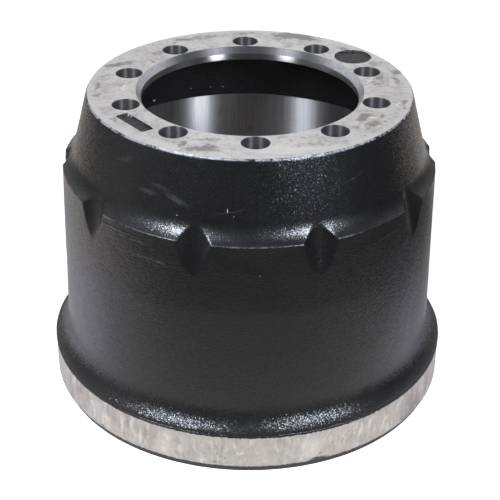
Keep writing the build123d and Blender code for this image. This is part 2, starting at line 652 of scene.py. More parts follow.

# Colours
# Paint inside the bell, made lighter as painted light lifting the shade there
INNER_PAINT_FILL_LIGHT = (0.0075, 0.0075, 0.0078, 1)
# Pale corner of the face: partly bare worn edge, partly a painted highlight
CORNER_WEAR_AND_HIGHLIGHT = (0.3, 0.3, 0.31, 1)
# Pale line along the shoulder's edge: partly rubbed paint, partly a painted highlight
SHOULDER_WEAR_AND_HIGHLIGHT = (0.08, 0.08, 0.084, 1)
PAINT_SCUFF = (0.05, 0.05, 0.053, 1)
PAINT_SPECK = (0.6, 0.6, 0.6, 1)
CREPT_PAINT = (0.012, 0.012, 0.012, 1)
# Painted sheen on both sides of the lead-in
LEAD_PAINTED_SHEEN = (0.74, 0.735, 0.725, 1)
# Black at the band's top: paint, and painted shade under the lip
BAND_PAINT_AND_SHADE = (0.004, 0.004, 0.004, 1)
BAND_FILM = (0.03, 0.029, 0.029, 1)
BEVEL_FILM = ((0.012, 0.0118, 0.012, 1), (0.03, 0.0295, 0.03, 1))
RECESS_PAINT = ((0.006, 0.006, 0.007, 1), (0.045, 0.045, 0.046, 1))
RECESS_CHIP = (0.4, 0.4, 0.4, 1)


def is_socket(value):
    """Whether a value is a node's socket and not a plain number or vector."""
    return isinstance(value, bpy.types.NodeSocket)


def fill_in(made, inputs):
    """A node given its inputs, each a socket to join or a value to set."""
    for key, value in inputs.items():
        if is_socket(value):
            made.id_data.links.new(value, made.inputs[key])
        else:
            made.inputs[key].default_value = value
    return made


def put(kind, inputs, tree=None, **settings):
    """A shader node with its settings and inputs, in the given tree or in its inputs' own."""
    tree = tree or next(value.id_data for value in inputs.values() if is_socket(value))
    made = tree.nodes.new("ShaderNode" + kind)
    for key, value in settings.items():
        setattr(made, key, value)
    return fill_in(made, inputs)


def grouped(tree, group, values={}):
    """A node group placed in a material with its own values."""
    return put("Group", values, tree, node_tree=group)


def maths(operation, *values):
    """Result of a Math node on sockets or numbers."""
    return put("Math", dict(enumerate(values)), operation=operation).outputs[0]


def plus(first, second):
    """Sum of two values."""
    return maths("ADD", first, second)


def times(first, second):
    """Product of two values."""
    return maths("MULTIPLY", first, second)


def off_by(value, mark):
    """Distance of a value from a mark, either way."""
    return maths("ABSOLUTE", maths("SUBTRACT", value, mark))


def clamped(value):
    """Value held between 0 and 1."""
    return put("Clamp", {0: value}).outputs[0]


def ramp(value, low, high, start=0.0, end=1.0):
    """Value carried smoothly from start at low to end at high, and held outside them."""
    inputs = {0: value, 1: low, 2: high, 3: start, 4: end}
    return put("MapRange", inputs, interpolation_type="SMOOTHSTEP").outputs[0]


def between(factor, first, second):
    """First number turning into the second by factor."""
    return put("Mix", {0: factor, 2: first, 3: second}).outputs[0]


def mixed(factor, first, second):
    """First colour turning into the second by factor."""
    inputs = {0: factor, 6: first, 7: second}
    return put("Mix", inputs, data_type="RGBA").outputs[2]


def vector_maths(operation, *values):
    """Result of a Vector Math node on sockets or vectors."""
    return put("VectorMath", dict(enumerate(values)), operation=operation).outputs[0]


def scaled(vector, scale):
    """A vector or colour times a number."""
    return put("VectorMath", {0: vector, 3: scale}, operation="SCALE").outputs[0]


def length_of(vector):
    """Length of a vector."""
    return put("VectorMath", {0: vector}, operation="LENGTH").outputs["Value"]


def stretched(vector, across, up):
    """The flat part of a vector, with its two parts multiplied."""
    return vector_maths("MULTIPLY", vector, (across, up, 0))


def flat_vector(across, up):
    """A vector made of two parts."""
    return put("CombineXYZ", {0: across, 1: up}).outputs[0]


def parts_of(vector):
    """The three parts of a vector."""
    return put("SeparateXYZ", {0: vector}).outputs


def own_place(tree):
    """Place of each point in the object's own frame, in metres."""
    return put("TexCoord", {}, tree).outputs["Object"]


def noise(vector, scale, detail=2.0, roughness=0.5, distortion=0.0):
    """Height of a noise pattern along a vector, in patterns per metre."""
    inputs = {
        "Vector": vector,
        "Scale": scale,
        "Detail": detail,
        "Roughness": roughness,
        "Distortion": distortion,
    }
    return put("TexNoise", inputs).outputs[0]


def bumped(height, distance, below=None):
    """Normal bent by a height, on top of another normal."""
    inputs = {"Height": height, "Distance": distance, "Strength": 1.0}
    if below:
        inputs["Normal"] = below
    return put("Bump", inputs).outputs[0]


def tinted(colour, *shares):
    """A colour times one share, or each of its three parts times a share of its own."""
    shares = shares * 3 if len(shares) == 1 else shares
    return (*(share * part for share, part in zip(shares, colour)), 1)


def new_group(name, inputs, outputs):
    """An empty node group and its two end nodes. Inputs have a name and a default, outputs a
    name and a kind."""
    tree = bpy.data.node_groups.new(name, "ShaderNodeTree")
    for label, default in inputs.items():
        kind = "NodeSocketVector" if isinstance(default, tuple) else "NodeSocketFloat"
        socket = tree.interface.new_socket(label, in_out="INPUT", socket_type=kind)
        socket.default_value = default
    for label, kind in outputs.items():
        tree.interface.new_socket(label, in_out="OUTPUT", socket_type="NodeSocket" + kind)
    given = tree.nodes.new("NodeGroupInput").outputs
    return tree, given, tree.nodes.new("NodeGroupOutput")


def place_group():
    """Radius, angle and height of each point about the drum's axis."""
    outputs = {"Radius": "Float", "Angle": "Float", "Height": "Float"}
    tree, _, out = new_group("Place on the drum", {}, outputs)
    x, y, z = parts_of(own_place(tree))
    square = plus(times(x, x), times(y, y))
    fill_in(out, {0: maths("SQRT", square), 1: maths("ARCTAN2", y, x), 2: z})
    return tree


def grain_group():
    """Skin of a sand casting under paint: each grain tilts the surface its own way by up to the
    strength, over small smooth lumps."""
    inputs = {"Grain size": 0.001, "Strength": 0.3, "Lumps": 0.0001}
    outputs = {"Normal": "Vector", "Tone": "Float"}
    tree, given, out = new_group("Casting grain", inputs, outputs)
    where = own_place(tree)
    scale = maths("DIVIDE", 1.0, given["Grain size"])
    lumps = noise(where, times(scale, 0.4), 1.0)
    smooth = bumped(lumps, given["Lumps"])
    grain = put("TexVoronoi", {"Vector": where, "Scale": scale}).outputs["Color"]
    away = vector_maths("SUBTRACT", grain, MIDDLE)
    bent = vector_maths("ADD", smooth, scaled(away, given["Strength"]))
    level = vector_maths("NORMALIZE", bent)
    fill_in(out, {0: level, 1: parts_of(grain)[0]})
    return tree


def turned_group(place):
    """Fine grooves of a lathe tool, which run round the axis, with a slow drift in depth."""
    tree, given, out = new_group("Turned grooves", {"Pitch": 0.0004}, {"Height": "Float"})
    spot = grouped(tree, place).outputs
    along = plus(spot["Radius"], spot["Height"])
    count = maths("DIVIDE", along, given["Pitch"])
    vector = flat_vector(count, times(spot["Angle"], 3.0))
    fill_in(out, {0: noise(vector, 1.0, 1.0)})
    return tree


def smudge_group():
    """Blotches of oil and dust: a broken mask that is 1 in a smudge and 0 on clean metal."""
    inputs = {"Size": 0.02, "Amount": 0.5, "Seed": 0.0}
    tree, given, out = new_group("Smudges", inputs, {"Mask": "Float"})
    shift = flat_vector(given["Seed"], given["Seed"])
    moved = vector_maths("ADD", own_place(tree), shift)
    scale = maths("DIVIDE", 1.0, given["Size"])
    found = noise(moved, scale, 6.0, 0.62, 0.4)
    low = maths("SUBTRACT", 0.75, times(given["Amount"], 0.35))
    fill_in(out, {0: ramp(found, low, plus(low, 0.16))})
    return tree


def mark_group():
    """One soft oval mark: 1 in its middle, fading to 0 at its edge. Where is in metres."""
    nowhere = (0, 0, 0)
    inputs = {"Where": nowhere, "Centre": nowhere, "Turn": nowhere, "Size": (1, 1, 1)}
    tree, given, out = new_group("Mark", inputs, {"Mask": "Float"})
    placed = {
        "Vector": given["Where"],
        "Location": given["Centre"],
        "Rotation": given["Turn"],
        "Scale": given["Size"],
    }
    seen = put("Mapping", placed, vector_type="TEXTURE").outputs[0]
    fill_in(out, {0: ramp(length_of(seen), 0.25, 1.0, 1.0, 0.0)})
    return tree


def marked(groups, where, marks):
    """Sum of marks, each (across, up, turn in degrees, half length, half width, strength) with
    lengths in millimetres, along a flat vector in metres."""
    total = 0.0
    for across, up, turn, length, width, strength in marks:
        values = {
            "Where": where,
            "Centre": (across * MM, up * MM, 0),
            "Turn": (0, 0, radians(turn)),
            "Size": (length * MM, width * MM, 1),
        }
        one = grouped(where.id_data, groups["mark"], values).outputs[0]
        total = plus(total, times(one, strength))
    return total


def flattened(where, scale, amount):
    """The flat part of a vector, ruffled sideways by noise so that marks get ragged edges."""
    ruffle = put("TexNoise", {"Vector": where, "Scale": scale, "Detail": 3.0}).outputs[1]
    off = vector_maths("SUBTRACT", ruffle, MIDDLE)
    moved = vector_maths("MULTIPLY_ADD", off, (amount, amount, 0), where)
    return stretched(moved, 1, 1)


def round_from_front(tree, radius):
    """Distance round the drum at a radius in millimetres: 0 at the front, rising to the right."""
    x, y, _ = parts_of(own_place(tree))
    return times(maths("ARCTAN2", x, times(y, -1.0)), radius * MM)


def new_material(name, values):
    """A material with its node tree and its shader, given some values of its own."""
    material = bpy.data.materials.new(name)
    material.use_nodes = True
    tree = material.node_tree
    return material, tree, fill_in(tree.nodes["Principled BSDF"], values)


# Marks on the paint, as (distance round at the bore's radius, height, turn, half length, half
# width, strength)
PAINT_SCUFFS = (
    (-90.6, 244, -2, 13, 2.8, 0.5),
    (-65.2, 243, -18, 14, 3.4, 0.6),
    (-80, 250, -8, 12, 2.4, 0.35),
    (-21, 238.4, 11, 20, 0.7, 0.5),
    (79.7, 254.3, 10.7, 11, 0.7, 0.6),
    (92, 258, 30, 5, 0.6, 0.5),
    (-120, 262, 20, 12, 3.0, 0.3),
)
PAINT_SPECKS = (
    (-23, 239.4, 88, 2.6, 0.45, 0.6),
    (-62.8, 231, 0, 0.8, 0.6, 0.6),
    (-18, 235.0, 0, 0.6, 0.5, 0.4),
    (2, 188.6, 20, 0.7, 0.5, 0.25),
    (-416, 222, 0, 0.9, 0.8, 0.9),
    (-437, 221, 0, 0.9, 0.8, 0.7),
    (-450, 220, 40, 1.2, 0.8, 0.9),
    (-374, 217.7, 20, 2.4, 1.0, 1.0),
)
PAINT_FLOWS = (
    (-112, 203, -8, 46, 11, 1.0),
    (-84, 196, -12, 34, 9, 1.0),
    (-20, 190, -3, 46, 4, 0.25),
    (112, 206, 20, 26, 8, 0.4),
)


def paint_grain(tree, groups, height, above):
    """Normal of the grain under the paint and the weight of its gloss. The grain is coarse on the
    flare and the bell, and finer between them."""
    lower = ramp(height, *OFF_FLARE, 0.33, 0.18)
    upper = ramp(height, *TO_BELL, 0.13, 0.29)
    tallest = ramp(height, *TO_BELL, 0.00013, 0.00008)
    values = {
        "Grain size": 0.00065,
        "Strength": between(above, lower, upper),
        "Lumps": ramp(height, *OFF_FLARE, 0.00003, tallest),
    }
    grain = grouped(tree, groups["grain"], values).outputs
    fullest = maths("MULTIPLY_ADD", above, 0.3, 0.13)
    return grain["Normal"], ramp(grain["Tone"], 0.0, 1.0, 0.05, fullest)


def paint_colour(tree, colours, radius, height, around):
    """Colour of the paint: lighter inside than outside, which is painted light lifting the shade
    inside the bell; a pale line along the shoulder on the left, partly rubbed paint and partly a
    painted highlight; and pale in places on the corner of the face, partly worn to bare and
    partly a painted highlight."""
    where = own_place(tree)
    tone = ramp(noise(where, 25.0, 4.0), 0.35, 0.7)
    outer = mixed(tone, tinted(colours.paint, 1.0), tinted(colours.paint, 1.6))
    # Inside the bell the paint is made lighter: painted light lifting the shade there.
    cone = maths("MULTIPLY_ADD", height, tan(BELL_TAPER), radius)
    inside = ramp(cone, *THROUGH_BELL, 1.0, 0.0)
    plain = mixed(inside, outer, INNER_PAINT_FILL_LIGHT)
    ragged = noise(where, 120.0, 4.0, 0.7)
    # A pale ragged line along the shoulder's edge, stronger on the left: partly rubbed paint,
    # partly a painted highlight.
    edge = ramp(off_by(height, SHOULDER[1] * MM), 0.0002, 0.0008, 1.0, 0.0)
    outermost = ramp(radius, (SHOULDER[0] - 1.5) * MM, (SHOULDER[0] - 0.5) * MM)
    fading = ramp(around, 0.07, 0.09, 1.0, 0.15)
    broken = times(ramp(ragged, 0.35, 0.65), fading)
    painted_sheen = times(times(edge, outermost), broken)
    # Pale in places on the corner of the face: partly paint worn to bare, partly a painted
    # highlight.
    upmost = ramp(height, *TO_FACE)
    corner = times(upmost, ramp(radius, *CORNER_RIM))
    bare = times(corner, ramp(ragged, 0.38, 0.58))
    return mixed(painted_sheen, mixed(bare, plain, CORNER_WEAR_AND_HIGHLIGHT), SHOULDER_WEAR_AND_HIGHLIGHT)


def paint_relief(groups, vector, flat, height, above):
    """Height of the paint's runs and of the level wrinkles on the barrel."""
    ripple = noise(stretched(flat, 0.25, 3.0), 24.0)
    crease = ramp(off_by(ripple, 0.5), 0.0, 0.03, 1.0, 0.0)
    flow = times(crease, clamped(marked(groups, flat, PAINT_FLOWS)))
    below = maths("SUBTRACT", 1.0, above)
    on_barrel = times(ramp(height, *UP_BARREL), below)
    wrinkles = times(noise(stretched(vector, 0.4, 1.2), 500.0), on_barrel)
    return maths("MULTIPLY_ADD", wrinkles, 0.5, flow)


def paint_material(colours, groups):
    """Semi-gloss black paint over the grain of the casting, with scuffs, specks and runs."""
    values = {"Roughness": 0.25, "Coat Roughness": 0.4}
    material, tree, shader = new_material("black_painted_casting", values)
    spot = grouped(tree, groups["place"]).outputs
    radius, height = spot["Radius"], spot["Height"]
    above = ramp(height, *TO_SHOULDER)
    normal, coat = paint_grain(tree, groups, height, above)
    around = round_from_front(tree, BRAKE_R)
    worn = paint_colour(tree, colours, radius, height, around)
    vector = flat_vector(around, height)
    flat = flattened(vector, 300.0, 0.003)
    rough = ramp(noise(vector, 700.0, 4.0, 0.7), 0.35, 0.6, 0.3, 1.0)
    scuff = clamped(times(marked(groups, flat, PAINT_SCUFFS), rough))
    speck = clamped(marked(groups, vector, PAINT_SPECKS))
    relief = paint_relief(groups, vector, flat, height, above)
    outputs = {
        "Base Color": mixed(speck, mixed(scuff, worn, PAINT_SCUFF), PAINT_SPECK),
        "Coat Weight": coat,
        "Normal": bumped(relief, 0.0004, normal),
    }
    fill_in(shader, outputs)
    return material


def turned_material(name, groups, roughness, stretch, depth):
    """Grey iron with lathe grooves round the axis, still without its colour."""
    values = {
        "Roughness": roughness,
        "Metallic": 1.0,
        "Anisotropic": stretch,
        "Anisotropic Rotation": 0.25,
    }
    material, tree, shader = new_material(name, values)
    tangent = put("Tangent", {}, tree, direction_type="RADIAL", axis="Z").outputs[0]
    grooves = grouped(tree, groups["turned"], {"Pitch": 0.0005}).outputs[0]
    fill_in(shader, {"Tangent": tangent, "Normal": bumped(grooves, depth)})
    return material, tree, shader


# Bored and turned walls: roughness, depth of the grooves in metres, share of the iron's colour,
# amount of smudges, and strength of the lines along the bore
WALLS = {
    "turned_brake_surface": (0.285, 0.00003, 0.87, 0.4, 0.16),
    "bored_iron": (0.29, 0.00002, 0.8, 0.2, 0.1),
    "bored_lead_in": (0.6, 0.00002, 0.4, 0.35, 0.14),
}


def wall_material(name, colours, groups):
    """Bored or turned iron: lathe grooves, a few smudges, and faint lines along the bore."""
    roughness, depth, tint, amount, lines = WALLS[name]
    material, tree, shader = turned_material(name, groups, roughness, 1.0, depth)
    smudge = grouped(tree, groups["smudge"], {"Amount": amount, "Seed": 3.0}).outputs[0]
    clean, dirty = tinted(colours.iron, tint), tinted(colours.iron, 0.55 * tint)
    spot = grouped(tree, groups["place"]).outputs
    around = times(spot["Angle"], BRAKE_R * MM)
    along = flat_vector(around, times(spot["Height"], 0.03))
    drawn = noise(along, 420.0, 4.0, 0.75)
    drag = ramp(drawn, 0.35, 0.62, 1.0 - lines, 1.0 + 0.3 * lines)
    colour = scaled(mixed(smudge, clean, dirty), drag)
    fill_in(shader, {"Base Color": colour})
    return material


def lead_in_material(colours, groups):
    """Turned lead-in of the pilot bore, dull at front and back; at both sides a painted sheen
    makes it lighter and less metallic.
    """
    material = wall_material("bored_lead_in", colours, groups)
    tree = material.node_tree
    shader = tree.nodes["Principled BSDF"]
    dull = shader.inputs["Base Color"].links[0].from_socket
    where = own_place(tree)
    x, y, _ = parts_of(where)
    # Lighter, less metallic iron at both sides, stronger towards the back: a painted sheen.
    aside = ramp(maths("ABSOLUTE", x), *LEAD_ASIDE)
    painted_sheen = times(aside, ramp(y, *LEAD_BACK, 0.4, 1.0))
    patchy = ramp(noise(where, 260.0, 5.0, 0.7), 0.3, 0.6, 0.65, 1.0)
    bright = times(painted_sheen, patchy)
    outputs = {
        "Base Color": mixed(bright, dull, LEAD_PAINTED_SHEEN),
        "Metallic": between(bright, 0.9, 0.6),
    }
    fill_in(shader, outputs)
    return material


# Marks on the mounting face, as (x, y, turn, half length, half width, strength)
FACE_SMUDGES = (
    (-50, 119, 15, 26, 9, 0.5),
    (-58, 117, 20, 8, 3, 0.7),
    (-67, 109, 20, 5, 2.5, 0.7),
    (-30, 126, 10, 14, 5, 0.45),
    (2, 133, 0, 14, 4, 0.6),
    (46, 125, -20, 28, 11, 0.85),
    (58, 122, -30, 22, 10, 0.5),
    (32, 120, 70, 18, 12, 0.35),
    (64, 116, -30, 16, 6, 0.35),
    (90, 92, -40, 12, 4, 0.5),
    (-113, 58, 30, 20, 5, 0.75),
    (-122, 52, 40, 12, 6, 0.6),
    (-87, 62, -50, 12, 4, 0.55),
    (-86, 82, 45, 14, 8, 0.35),
    (-134, 4, 80, 14, 4, 0.6),
    (-132, -14, 80, 8, 5, 0.6),
    (-128, 26, 85, 14, 8, 0.4),
    (-113, -62, 60, 12, 6, 0.5),
    (-43, -122, 0, 24, 8, 0.75),
    (-58, -113, 40, 8, 4, 0.6),
    (-46, -93, 0, 4, 1.5, 0.8),
    (-40, -104, -5, 18, 5, 0.4),
    (48, -116, 10, 20, 8, 0.35),
    (92, -66, 60, 15, 9, 0.85),
    (132, 60, 60, 8, 4, 0.6),
    (100, -78, 50, 14, 9, 0.8),
    (84, -84, 30, 10, 6, 0.4),
    (108, -62, 60, 8, 4, 0.5),
    (132, -34, 75, 10, 2.5, 0.8),
    (129, -46, 60, 6, 2, 0.7),
    (133, 34, 70, 10, 6, 0.9),
    (131, 16, 88, 16, 4, 0.5),
    (117, 14, 80, 24, 12, 0.45),
    (116, 52, 50, 12, 8, 0.4),
)
FACE_SCUFFS = (
    (-111, 2, 75, 5, 1.6, 1.0),
    (-109, -4, 60, 3, 1.2, 0.9),
    (18, -126, 3, 46, 10, 0.45),
    (100, -66, 20, 8, 1.4, 0.8),
    (97, -72, -40, 6, 1.0, 0.8),
    (107, 14, 60, 12, 2, 0.7),
    (112, 2, 20, 8, 1.0, 0.8),
    (126, -38, 60, 7, 0.9, 0.8),
    (-84, 56, 40, 8, 1.4, 0.6),
)


def face_material(colours, groups):
    """Faced iron: soft turning marks, grey and brown smudges, a mottle that thins out over the
    outer few millimetres as a painted highlight along the rim, pale scuffs, and paint that has
    crept over its outer edge."""
    material, tree, shader = turned_material("machined_face", groups, 0.42, 0.5, 0.00001)
    where = own_place(tree)
    radius = grouped(tree, groups["place"]).outputs["Radius"]
    flat = flattened(where, 90.0, 0.012)
    fine = noise(where, 240.0, 6.0, 0.75)
    slow = noise(where, 60.0, 6.0, 0.68)
    # The mottle thins over the face's outer margin, so the rim is lighter all round: a painted
    # highlight.
    most = ramp(radius, *FACE_MARGIN, 0.48, 0.15)
    mottle = ramp(slow, 0.38, 0.72, 0.0, most)
    ragged = maths("MULTIPLY_ADD", fine, 2.2, -1.1)
    smudge = plus(marked(groups, flat, FACE_SMUDGES), ragged)
    dirt = clamped(plus(ramp(smudge, -0.05, 0.95, 0.0, 0.95), mottle))
    patchy = ramp(fine, 0.3, 0.62, 0.35, 1.25)
    scuff = clamped(times(marked(groups, flat, FACE_SCUFFS), patchy))
    clean, grimy = tinted(colours.iron, 1.13), tinted(colours.iron, 0.5, 0.49, 0.47)
    worn = mixed(scuff, mixed(dirt, clean, grimy), tinted(colours.iron, 1.5))
    wander = times(noise(where, 180.0, 4.0, 0.7), 0.0022)
    crept = ramp(plus(radius, wander), *FACE_PAINT)
    fill_in(shader, {"Base Color": mixed(crept, worn, CREPT_PAINT)})
    return material


# Marks on the band, as (distance round it, height, turn, half length, half width, strength)
BAND_STAINS = (
    (-93, 25, 90, 16, 9, 0.35),
    (-182, 25, 90, 24, 20, 0.5),
    (-207, 20, 90, 20, 10, 0.5),
    (166, 20, 90, 30, 28, 0.7),
    (176, 12, 90, 14, 14, 0.5),
    (197, 24, 90, 20, 10, 0.5),
    (60, 30, 80, 10, 3, 0.25),
    (-142, 29, 88, 9, 4, 0.7),
    (-119, 28, 88, 9, 4, 0.7),
    (-88, 27, 88, 8, 3, 0.5),
    (-29, 22, 88, 14, 1.4, 0.5),
    (-101, 24, 88, 14, 2, 0.5),
)
BAND_BLOTS = (
    (56, 8, 0, 14, 2.4, 1.0),
    (58, 13, 20, 3, 1.0, 0.6),
    (-33.3, 19.5, 0, 1.3, 1.1, 0.9),
    (-25.9, 15.3, 70, 1.8, 0.9, 0.8),
    (-43.9, 18.5, 0, 1.0, 0.8, 0.6),
    (-35.2, 9.9, 0, 3, 1.4, 0.8),
    (-150, 9, 0, 6, 1.6, 0.7),
    (150, 11, 20, 5, 1.2, 0.7),
)
BAND_SCUFFS = (
    (-4, 33, 90, 5, 2, 0.8),
    (-13, 20, 60, 4, 2, 0.6),
    (107, 27.7, 74, 9, 2.2, 1.0),
    (124, 20, 78, 12, 2.4, 1.0),
    (130, 14, 90, 7, 2.6, 0.6),
    (142, 28, 72, 6, 1.6, 0.9),
    (46, 22, 90, 22, 12, 0.6),
    (-82, 18, 90, 24, 12, 0.5),
    (-161, 19, 88, 12, 2.4, 0.9),
    (-149.5, 17, 88, 12, 2.0, 0.9),
    (-125, 22, 86, 14, 2.4, 0.9),
    (-105, 18, 86, 12, 3, 0.9),
    (-66, 19, 90, 6, 3, 0.8),
    (-47, 11.5, 0, 7, 1.4, 0.9),
    (-13, 21, 10, 5, 2, 0.8),
    (56, 24, 60, 14, 9, 0.6),
    (-143, 18, 90, 20, 8, 0.4),
    (88, 34, 0, 5, 2.4, 0.6),
)


def band_wear(colours, groups, vector, flat):
    """Colour of the band's iron under dried film in streaks down it, with stains and scuffs."""
    drawn = stretched(vector, 1, 0.09)
    narrow = ramp(noise(drawn, 260.0, 4.0, 0.7), 0.35, 0.68)
    wide = ramp(noise(drawn, 70.0), 0.35, 0.7)
    line = times(narrow, plus(times(wide, 0.7), 0.3))
    tall = stretched(vector, 1, 0.45)
    patch = ramp(noise(tall, 150.0, 6.0, 0.7, 0.6), 0.4, 0.66)
    streak = plus(times(line, 0.6), times(patch, 0.8))
    bloom = ramp(noise(tall, 130.0, 6.0, 0.75, 0.3), 0.5, 0.68, 0.0, 0.9)
    fine = ramp(noise(vector, 700.0, 4.0, 0.7), 0.3, 0.65, 0.3, 1.2)
    stain = times(marked(groups, flat, BAND_STAINS), fine)
    dull = clamped(plus(stain, times(streak, 0.55)))
    scuffs = marked(groups, flat, BAND_SCUFFS)
    scuff = clamped(maths("MULTIPLY_ADD", scuffs, fine, bloom))
    clean, dusty = tinted(colours.band, 1.0), tinted(colours.band, 0.56, 0.54, 0.53)
    return mixed(scuff, mixed(dull, clean, dusty), tinted(colours.band, 1.3))


def band_material(colours, groups):
    """Turned band: pale worn iron, with ragged paint along its top that is also painted shade
    under the lip, and specks and dark film along its foot."""
    material, tree, shader = new_material("turned_band", {})
    height = grouped(tree, groups["place"]).outputs["Height"]
    vector = flat_vector(round_from_front(tree, BAND_R), height)
    flat = flattened(vector, 260.0, 0.004)
    worn = band_wear(colours, groups, vector, flat)
    ragged = times(noise(vector, 330.0, 5.0, 0.75), 0.004)
    edge = plus(height, ragged)
    # Black along the band's top: ragged paint, and painted shade under the lip.
    top = ramp(edge, *BAND_TOP)
    foot = ramp(edge, *BAND_FOOT, 1.0, 0.0)
    blot = marked(groups, flat, BAND_BLOTS)
    black = clamped(plus(maths("MAXIMUM", top, foot), blot))
    film = mixed(top, BAND_FILM, BAND_PAINT_AND_SHADE)
    bare = times(maths("SUBTRACT", 1.0, black), 0.6)
    outputs = {
        "Base Color": mixed(black, worn, film),
        # There the top is rough black metal, so the painted shade shows no reflection.
        "Roughness": between(top, 0.45, 0.95),
        "Metallic": maths("MAXIMUM", bare, top),
    }
    fill_in(shader, outputs)
    return material


def bevel_material():
    """Dark film on the bevel under the band."""
    material, tree, shader = new_material("dark_bevel", {"Roughness": 0.6})
    tone = noise(own_place(tree), 150.0, 3.0)
    colour = mixed(tone, *BEVEL_FILM)
    fill_in(shader, {"Base Color": colour})
    return material


# Bare chips in the recesses, as (x, y, turn, half length, half width, strength)
RECESS_CHIPS = (
    (-103.6, -54.0, 36, 2.6, 1.3, 1.0),
    (-101.5, -56.5, -54, 3.0, 0.8, 0.8),
)


def recess_material(groups):
    """Rough as-cast floor of a recess, with paint left in it, worn off its high spots and
    chipped at one end."""
    material, tree, shader = new_material("rough_recess", {"Roughness": 0.5})
    values = {"Grain size": 0.0014, "Strength": 0.3, "Lumps": 0.0008}
    where = own_place(tree)
    worn = ramp(noise(where, 110.0, 4.0, 0.7, 2.5), 0.5, 0.68)
    rough = mixed(worn, *RECESS_PAINT)
    flat = flattened(where, 300.0, 0.002)
    chip = clamped(marked(groups, flat, RECESS_CHIPS))
    outputs = {
        "Base Color": mixed(chip, rough, RECESS_CHIP),
        "Normal": grouped(tree, groups["grain"], values).outputs["Normal"],
    }
    fill_in(shader, outputs)
    return material


def hole_tangent(tree, circle_r):
    """Direction round the nearest stud hole: square to the line from the hole's axis, level."""
    x, y, _ = parts_of(own_place(tree))
    step = 2 * pi / PERIODS
    index = maths("FLOOR", maths("DIVIDE", maths("ARCTAN2", y, x), step))
    middle = maths("MULTIPLY_ADD", index, step, step / 2)
    hole_x = times(maths("COSINE", middle), circle_r)
    hole_y = times(maths("SINE", middle), circle_r)
    along = maths("SUBTRACT", hole_y, y)
    across = maths("SUBTRACT", x, hole_x)
    return vector_maths("NORMALIZE", flat_vector(along, across))


def drilled_material(colours, groups, circle_r):
    """Drilled wall of a stud hole: dull iron with the drill's grooves round it."""
    values = {
        "Roughness": 0.5,
        "Metallic": 0.6,
        "Anisotropic": 0.9,
        "Anisotropic Rotation": 0.25,
    }
    material, tree, shader = new_material("drilled_iron", values)
    values = {"Size": 0.006, "Amount": 0.6, "Seed": 5.0}
    smudge = grouped(tree, groups["smudge"], values).outputs[0]
    clean, dirty = tinted(colours.iron, 0.15), tinted(colours.iron, 0.1)
    outputs = {
        "Base Color": mixed(smudge, clean, dirty),
        "Tangent": hole_tangent(tree, circle_r),
    }
    fill_in(shader, outputs)
    return material


def finishes(colours, circle_r):
    """The materials in the order of their finish numbers."""
    place = place_group()
    groups = {
        "place": place,
        "grain": grain_group(),
        "turned": turned_group(place),
        "smudge": smudge_group(),
        "mark": mark_group(),
    }
    return [
        paint_material(colours, groups),
        face_material(colours, groups),
        band_material(colours, groups),
        wall_material("turned_brake_surface", colours, groups),
        recess_material(groups),
        wall_material("bored_iron", colours, groups),
        bevel_material(),
        lead_in_material(colours, groups),
        drilled_material(colours, groups, circle_r),
    ]


# ---------------------------------------------------------------- studio

CAMERA_PLACE = (-0.04618, -1.0372, 0.719)
CAMERA_YAW = radians(2.643)
CAMERA_PITCH = radians(30.17)
CAMERA_ROLL = 0.0117
CAMERA_LENS = 91.93

LAMPS = (("left_lamp", -46.5, 39.5, 1.12), ("right_lamp", 35.5, 30.0, 1.0))
LAMP_SIZE = (0.42, 0.62)
LAMP_REACH = 2.2
LAMP_COLOUR = (0.86, 0.92, 1.04)
LAMP_TARGET = Vector((0, 0, 0.2))

FLOOR_RINGS = (0.0, 0.4, 0.8, 1.5)
FLOOR_COLUMNS = 96
WARM = (1.0, 0.89, 0.76, 1)
ROSY = (1.0, 0.92, 0.94, 1)
COOL = (0.99, 0.985, 1.0, 1)
WHITE = (1, 1, 1, 1)


def studio_camera():
    """The camera: above the drum and in front of it, pitched down, with a long lens."""
    level = cos(CAMERA_PITCH)
    ahead = Vector((sin(CAMERA_YAW) * level, cos(CAMERA_YAW) * level, -sin(CAMERA_PITCH)))
    right = ahead.cross(Vector((0, 0, 1))).normalized()
    up = right.cross(ahead)
    across = right * cos(CAMERA_ROLL) + up * sin(CAMERA_ROLL)
    upright = up * cos(CAMERA_ROLL) - right * sin(CAMERA_ROLL)
    data = bpy.data.cameras.new("studio_camera")
    data.sensor_width = 36.0
    data.lens = CAMERA_LENS
    data.clip_end = 50.0
    camera = placed("studio_camera", data)
    turn = Matrix((across, upright, -ahead)).transposed()
    camera.matrix_world = Matrix.Translation(CAMERA_PLACE) @ turn.to_4x4()
    bpy.context.scene.camera = camera


def ray_kinds(tree):
    """Whether a ray has met a shiny or clear surface, and whether it comes from the camera."""
    rays = put("LightPath", {}, tree).outputs
    glossy = maths("MAXIMUM", rays["Is Glossy Ray"], rays["Is Transmission Ray"])
    return glossy, rays["Is Camera Ray"]


def floor_grey(reach, x, y):
    """Grey of the floor as reflections show it. It falls off in front of the drum and to its
    left, and rises behind it; distances are in metres."""
    ahead = ramp(reach, 0.25, 0.75, 0.35, 0.12)
    behind = ramp(y, -0.42, 0.0, 0.0, 0.9)
    past = ramp(y, 0.18, 0.45, 0.15, 1.0)
    beyond = maths("MAXIMUM", past, ramp(y, -0.42, -0.12, 0.85, 0.15))
    right = ramp(x, 0.2, 0.46, 1.05, beyond)
    left = ramp(x, -0.9, -0.36, 0.41, 1.0)
    return times(between(behind, ahead, 1.0), times(left, right))


